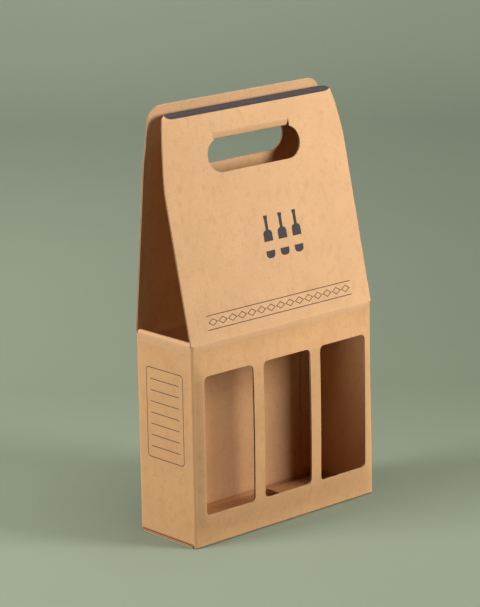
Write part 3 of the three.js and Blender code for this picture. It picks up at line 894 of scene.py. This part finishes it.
class GIFTBOX_OT_front_handle(bpy.types.Operator):
    """Makes the front handle panel, its rolled fold and the flap behind it"""

    bl_idname = "giftbox.front_handle"
    bl_label = "Front handle panel"

    def execute(self, context):
        slack = CREASE_RADIUS * math.tan(FRONT_LEAN / 2)
        fold = Fold((FRONT, CREASE_Z - STRIP), math.pi / 2, -1, [
            ("run", STRIP - slack), ("bend", FRONT_LEAN, CREASE_RADIUS), ("run", FRONT_LENGTH - slack),
            ("bend", math.pi, ROLL_RADIUS), ("run", RETURN_FLAP),
        ])
        roll_end = fold.parts[3][1]
        right = shoulder(STRIP, math.asin((FRONT_LENGTH - 1 - SHOULDER_START) / SHOULDER_RADIUS))
        tip_x, tip_y = right[-1]
        inset = ROLL_HALF_TURN - 2
        ear_rise, ear_turn, flap_start = 7.8, math.radians(78), tip_y + 9
        turn = np.linspace(0, ear_turn, 10)[1:]
        ear = np.stack([inset + (tip_x - inset) * np.cos(turn), tip_y + ear_rise * np.sin(turn)], 1)
        flap = rounded([
            (ROLL_HALF_TURN, flap_start), (ROLL_HALF_TURN, roll_end), (inset, fold.length, 3),
            (0, fold.length), (0, flap_start),
        ])
        base = HALF_WIDTH - CORNER
        foot = [(base, 0), (base, STRIP), (HALF_WIDTH, STRIP)]
        side = np.concatenate([foot, right, ear, flap[:-2]])
        outline = np.concatenate([side, mirrored(side)])
        panel = board(
            context, "front_handle_board", [outline, hole_loop(STRIP)], fold, (1, 2),
            spaced(-HALF_WIDTH, HALF_WIDTH, 6),
            papers(context, "kraft_printed", "outer", handle_print, 7.0, crushed=True),
            shift=front_drawn,
        )
        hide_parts("front_handle_panel", "handle_roll", "handle_return_flap")
        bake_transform(panel)
        return {"FINISHED"}


class GIFTBOX_OT_rear_handle(bpy.types.Operator):
    """Makes the rear handle panel"""

    bl_idname = "giftbox.rear_handle"
    bl_label = "Rear handle panel"

    def execute(self, context):
        slack = CREASE_RADIUS * math.tan(REAR_LEAN / 2)
        fold = Fold((REAR, CREASE_Z - STRIP), math.pi / 2, 1, [
            ("run", STRIP - slack), ("bend", REAR_LEAN, CREASE_RADIUS), ("run", REAR_LENGTH - slack),
        ])
        corner_y = REAR_LENGTH - REAR_CORNER
        reach = SHOULDER_RADIUS - REAR_CORNER
        sweep = math.asin((corner_y - SHOULDER_START) / reach)
        corner = (HALF_WIDTH - SHOULDER_RADIUS + reach * math.cos(sweep), STRIP + corner_y)
        rounding = arc(corner, REAR_CORNER, sweep, math.pi / 2, 10)[1:]
        upper = np.concatenate([shoulder(STRIP, sweep), rounding])
        base = HALF_WIDTH - CORNER
        left_foot = [(-HALF_WIDTH, STRIP), (-base, STRIP), (-base, 0)]
        outline = np.concatenate([[(HALF_WIDTH, 0)], upper, mirrored(upper), left_foot])
        panel = board(
            context, "rear_handle_board", [outline, hole_loop(STRIP)], fold, (1, 2),
            spaced(-HALF_WIDTH, HALF_WIDTH, 6), papers(context, lining="outer", crushed=True),
            shift=rear_drawn,
        )
        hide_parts("rear_handle_panel")
        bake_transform(panel)
        return {"FINISHED"}


class GIFTBOX_OT_grip_flaps(bpy.types.Operator):
    """Makes the flaps that the hand hole's upper edge turns into"""

    bl_idname = "giftbox.grip_flaps"
    bl_label = "Grip flaps"

    def execute(self, context):
        half = HOLE_HALF_TOP - FIT
        end = HOLE_HALF_LENGTH - HOLE_END_RADIUS
        radius = HOLE_END_RADIUS - FIT
        drop = HOLE_DROP - HOLE_END_RADIUS
        meet = math.acos((half - end) / radius)
        tip = math.asin((drop - GRIP_FLAP_LENGTH) / radius)
        right = np.concatenate([[(half, 0)], arc((end, drop), radius, -meet, -tip, 8)])
        outline = np.concatenate([right, mirrored(right)])
        lean = np.array([math.sin(FRONT_LEAN), math.cos(FRONT_LEAN)])
        start = np.array([FRONT, CREASE_Z]) + HOLE_TOP * lean
        bends = [("bend", math.radians(24), 5), ("run", 3.1), ("bend", math.radians(66), 1.8)]
        fold = Fold(start, -math.pi / 2 - FRONT_LEAN, 1, bends).run_on(GRIP_FLAP_LENGTH)
        self.flap(context, "front", outline, fold)
        lean = np.array([-math.sin(REAR_LEAN), math.cos(REAR_LEAN)])
        start = np.array([REAR, CREASE_Z]) + HOLE_TOP * lean
        bends = [("bend", -math.radians(66), 4)]
        fold = Fold(start, -math.pi / 2 + REAR_LEAN, -1, bends).run_on(GRIP_FLAP_LENGTH)
        self.flap(context, "rear", outline, fold)
        return {"FINISHED"}

    def flap(self, context, panel, outline, fold):
        """One flap, which goes over from its handle panel along its first bend."""
        columns = spaced(-HOLE_HALF_LENGTH, HOLE_HALF_LENGTH, 6)
        piece = board(
            context, f"{panel}_grip_board", [outline], fold, (1, 2), columns, papers(context), spacing=2
        )
        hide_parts(f"{panel}_grip_flap")
        first, last = fold.at(np.array(fold.parts[0][:2]))[0]
        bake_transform(piece)


class GIFTBOX_OT_side_rims(bpy.types.Operator):
    """Makes the rolled rims of the side walls and the flaps that hang from them"""

    bl_idname = "giftbox.side_rims"
    bl_label = "Side rims and top flaps"

    def execute(self, context):
        flap_length, mitre, corner = 24, 7, 4
        half_top = GLUE_FACE - BOARD - FIT
        half_end = half_top - mitre
        inner = HALF_WIDTH - 2 * RIM_RADIUS
        front_end = FRONT + CORNER
        columns = spaced(FRONT, REAR, 5)
        for side, name, rear_end in SIDES:
            rim = Fold((side * HALF_WIDTH, CREASE_Z - RIM_STRIP), math.pi / 2, side, [
                ("run", RIM_STRIP), ("bend", math.pi, RIM_RADIUS),
            ])
            outline = np.array([
                (front_end, 0), (rear_end, 0), (rear_end, rim.length), (front_end, rim.length)
            ])
            piece = board(
                context, f"{name}_rim_board", [outline], rim, (0, 2), columns, papers(context), spacing=3
            )
            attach(piece, "carton")
            hang = Fold((side * inner, CREASE_Z), -math.pi / 2, side, [("run", flap_length)])
            outline = rounded([
                (-half_top, 0), (half_top, 0),
                (half_end, flap_length, corner), (-half_end, flap_length, corner),
            ])
            piece = board(
                context, f"{name}_top_flap_board", [outline], hang, (0, 2), columns, papers(context),
                spacing=1.5,
            )
            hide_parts(f"{name}_top_flap")
            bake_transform(piece)
        return {"FINISHED"}


class GIFTBOX_OT_base(bpy.types.Operator):
    """Makes the base panel and its tuck flap"""

    bl_idname = "giftbox.base"
    bl_label = "Base"

    def execute(self, context):
        base_front = FRONT + BOARD + FIT
        strip, notch = 2, 1.6  # of the base that goes with the tuck flap, and its full-width part
        hand_over = base_front + CORNER + strip
        fold = Fold((REAR, CORNER + FOOT_STRIP), -math.pi / 2, -1, [
            ("run", FOOT_STRIP), ("bend", math.pi / 2, CORNER), ("run", REAR - CORNER - hand_over),
        ])
        wide = HALF_WIDTH - 0.4  # just inside the side walls' faces
        narrow = HALF_WIDTH - CORNER
        flat_start = fold.parts[1][1] + FIT
        right = np.array([
            (narrow, 0), (narrow, flat_start), (wide, flat_start), (wide, fold.length)
        ])
        columns = spaced(-HALF_WIDTH, HALF_WIDTH, 7)
        # Inside, the base paper darkens the board as painted shade; outside, the wall paper's warmer
        # tone is painted shade too
        piece = board(
            context, "base_board", [np.concatenate([right, mirrored(right)])], fold, (1, 2), columns,
            papers(context, "kraft_foot", "walls", lining="base"),
        )
        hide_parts("base_panel")
        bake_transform(piece)

        lean, height, taper, corner = math.radians(10), 14, 5, 6
        fold = Fold((hand_over, 0), math.pi, -1, [
            ("run", strip), ("bend", math.pi / 2 + lean, CORNER), ("run", height),
        ])
        narrow = HALF_WIDTH - CORNER - 2 * FIT
        flap = rounded([
            (narrow, strip), (narrow - taper, fold.length, corner), (0, fold.length), (0, strip)
        ])
        right = np.concatenate([[(wide, 0), (wide, notch), (narrow, notch)], flap[:-2]])
        piece = board(
            context, "tuck_board", [np.concatenate([right, mirrored(right)])], fold, (1, 2), columns,
            papers(context), spacing=3,
        )
        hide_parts("base_tuck_flap")
        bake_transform(piece)
        return {"FINISHED"}


class GIFTBOX_OT_base_flaps(bpy.types.Operator):
    """Makes the dust flaps that turn in from the side walls and lie on the base"""

    bl_idname = "giftbox.base_flaps"
    bl_label = "Base flaps"

    def execute(self, context):
        lift = context.scene.gift_box.board.flap_lift / MM
        long, mitre, front_gap, rear_gap = 61.5, 4, 8.5, 3
        front, rear = FRONT + BOARD + front_gap, REAR - BOARD - rear_gap
        front_end = FRONT + CORNER
        for side, name, rear_end in SIDES:
            fold = Fold((side * HALF_WIDTH, FLAP_LEVEL + CORNER + FOOT_STRIP), -math.pi / 2, -side, [
                ("run", FOOT_STRIP), ("bend", math.pi / 2, CORNER), ("run", long),
            ])
            crease = fold.parts[1][1]
            outline = np.array([
                (front_end, 0), (rear_end, 0), (rear_end, crease), (rear, crease),
                (rear - mitre, fold.length), (front + mitre, fold.length), (front, crease),
                (front_end, crease),
            ])

            def sprung(where, at, crease=crease):
                """Lifts the flap more and more towards its free end."""
                moved = np.zeros_like(where)
                share = np.clip((at[:, 1] - crease) / long, 0, 1)
                moved[:, 2] = lift * share**2
                return moved

            # Inside, the base paper darkens the flaps as painted shade; outside, the wall paper's warmer
            # tone is painted shade too
            piece = board(
                context, f"{name}_base_flap_board", [outline], fold, (0, 2), spaced(FRONT, REAR, 5),
                papers(context, "kraft_foot", "walls", lining="base"), shift=sprung, spacing=4,
            )
            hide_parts(f"{name}_base_flap")
            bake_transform(piece)
        return {"FINISHED"}


def towards(azimuth, elevation):
    """Unit vector from the box to a place round it, its azimuth counted from the front."""
    level = math.cos(elevation)
    return Vector((math.sin(azimuth) * level, -math.cos(azimuth) * level, math.sin(elevation)))


class GIFTBOX_OT_stage(bpy.types.Operator):
    """Makes the floor, the lamps and the camera"""

    bl_idname = "giftbox.stage"
    bl_label = "Stage"

    def execute(self, context):
        look = context.scene.gift_box.stage
        self.floor(context, look)
        self.lamps(context, look)
        self.camera(context, look)
        context.scene.view_settings.view_transform = "Standard"
        return {"FINISHED"}

    def floor(self, context, look):
        """A floor that curves up into a backdrop, square to the camera."""
        near, far, bend, top, half = -3.0, 1.6, 1.2, 3.0, 4.0
        fade = (0.35, 2.6)  # metres behind the box, from the floor's colour to the backdrop's
        rise = np.linspace(0, math.pi / 2, 13)[1:]
        profile = [(near, 0), (far, 0)]
        profile += [(far + bend * math.sin(a), bend * (1 - math.cos(a))) for a in rise]
        profile.append((far + bend, top))
        turn = Matrix.Rotation(look.azimuth, 4, "Z")
        points = [turn @ Vector((x, y, z)) for y, z in profile for x in (-half, half)]
        faces = [(2 * i, 2 * i + 1, 2 * i + 3, 2 * i + 2) for i in range(len(profile) - 1)]
        mesh = bpy.data.meshes.new("floor")
        mesh.from_pydata(points, [], faces)
        mesh.polygons.foreach_set("use_smooth", [True] * len(faces))
        shader = Shader("floor_paint")
        place = shader.add("ShaderNodeNewGeometry").outputs["Position"]
        across = shader.vector("DOT_PRODUCT", place, turn @ Vector((1, 0, 0)))
        away = shader.vector("DOT_PRODUCT", place, turn @ Vector((0, 1, 0)))
        far_share = shader.ranged(away, *fade)
        base = shader.mix(far_share, rgba(look.floor), rgba(look.backdrop))
        cloud = shader.ranged(shader.noise(place, 3.0, 3.0, 0.5), 0.3, 0.7, 0.985, 1.015)
        # Painted light and shade: the floor lighter on the left and darker on the right, where the box's
        # shadow falls
        painted_side_light = shader.mix(far_share, shader.ranged(across, -0.25, 0.25, 1.12, 0.8), (1, 1, 1, 1))
        seen = shader.add("ShaderNodeLightPath").outputs["Is Camera Ray"]
        level = shader.math("MULTIPLY", cloud, shader.ranged(seen, 0, 1, look.bounce, 1))
        base = shader.mix(1.0, shader.mix(1.0, base, painted_side_light, "MULTIPLY"), level, "MULTIPLY")
        shader.link(base, shader.bsdf.inputs["Base Color"])
        shader.bsdf.inputs["Emission Color"].default_value = rgba(look.backdrop)
        glow = shader.math("MULTIPLY", shader.math("MULTIPLY", seen, far_share), look.glow)
        shader.link(glow, shader.bsdf.inputs["Emission Strength"])
        shader.bsdf.inputs["Roughness"].default_value = 0.95
        shader.bsdf.inputs["Specular IOR Level"].default_value = 0.1
        mesh.materials.append(shader.material)
        obj = bpy.data.objects.new("floor", mesh)
        context.collection.objects.link(obj)

    def lamps(self, context, look):
        """A tall soft key from the front right, a lamp overhead, a fill from the left, a surround."""
        aim = Vector((0, 0, 0.16))
        for name, watts, azimuth, elevation, distance, width, height in (
            ("key", look.key, 30, 20, 1.0, 0.34, 0.55),
            ("top", look.top, 0, 84, 1.5, 1.0, 1.0),
            ("fill", look.fill, -110, 25, 1.8, 0.8, 0.8),
        ):
            back = towards(math.radians(azimuth), math.radians(elevation))
            lamp = bpy.data.lights.new(name, "AREA")
            lamp.energy = watts
            lamp.shape = "RECTANGLE"
            lamp.size = width
            lamp.size_y = height
            obj = bpy.data.objects.new(name, lamp)
            obj.location = aim + back * distance
            obj.rotation_euler = (-back).to_track_quat("-Z", "Y").to_euler()
            context.collection.objects.link(obj)
        world = bpy.data.worlds.new("surround")
        world.use_nodes = True
        background = world.node_tree.nodes["Background"]
        background.inputs["Color"].default_value = (1.0, 1.0, 1.0, 1.0)
        background.inputs["Strength"].default_value = look.ambient
        context.scene.world = world

    def camera(self, context, look):
        """A long lens at the photograph's viewing angle."""
        back = towards(look.azimuth, look.elevation)
        right = Vector((math.cos(look.azimuth), math.sin(look.azimuth), 0))
        up = back.cross(right)
        turned_right = right * math.cos(look.roll) + up * math.sin(look.roll)
        turned_up = up * math.cos(look.roll) - right * math.sin(look.roll)
        camera = bpy.data.cameras.new("camera")
        camera.lens = look.lens
        camera.sensor_width = 36
        obj = bpy.data.objects.new("camera", camera)
        axes = Matrix((turned_right, turned_up, back)).transposed()
        place = Vector(look.target) + back * look.distance
        obj.matrix_world = Matrix.Translation(place) @ axes.to_4x4()
        context.collection.objects.link(obj)
        context.scene.camera = obj


OPERATORS = (
    GIFTBOX_OT_sleeve,
    GIFTBOX_OT_front_handle,
    GIFTBOX_OT_rear_handle,
    GIFTBOX_OT_grip_flaps,
    GIFTBOX_OT_side_rims,
    GIFTBOX_OT_base,
    GIFTBOX_OT_base_flaps,
    GIFTBOX_OT_stage,
)


class GIFTBOX_PT_panel(bpy.types.Panel):
    """Sidebar panel with the box's settings and its makers"""

    bl_idname = "GIFTBOX_PT_panel"
    bl_label = "Gift Box"
    bl_space_type = "VIEW_3D"
    bl_region_type = "UI"
    bl_category = "Gift Box"

    def draw(self, context):
        settings = context.scene.gift_box
        for group in (settings.board, settings.finish, settings.stage):
            column = self.layout.column(heading=group.bl_rna.name)
            for name in group.__annotations__:
                column.prop(group, name)
        for operator in OPERATORS:
            self.layout.operator(operator.bl_idname)


CLASSES = (BoardSizes, KraftFinish, StageLook, GiftBoxSettings, *OPERATORS, GIFTBOX_PT_panel)


def register():
    for cls in CLASSES:
        bpy.utils.register_class(cls)
    bpy.types.Scene.gift_box = PointerProperty(type=GiftBoxSettings)


def unregister():
    del bpy.types.Scene.gift_box
    for cls in reversed(CLASSES):
        bpy.utils.unregister_class(cls)


def main():
    register()
    for operator in OPERATORS:
        group, name = operator.bl_idname.split(".")
        getattr(getattr(bpy.ops, group), name)()


if __name__ == "__main__":
    main()
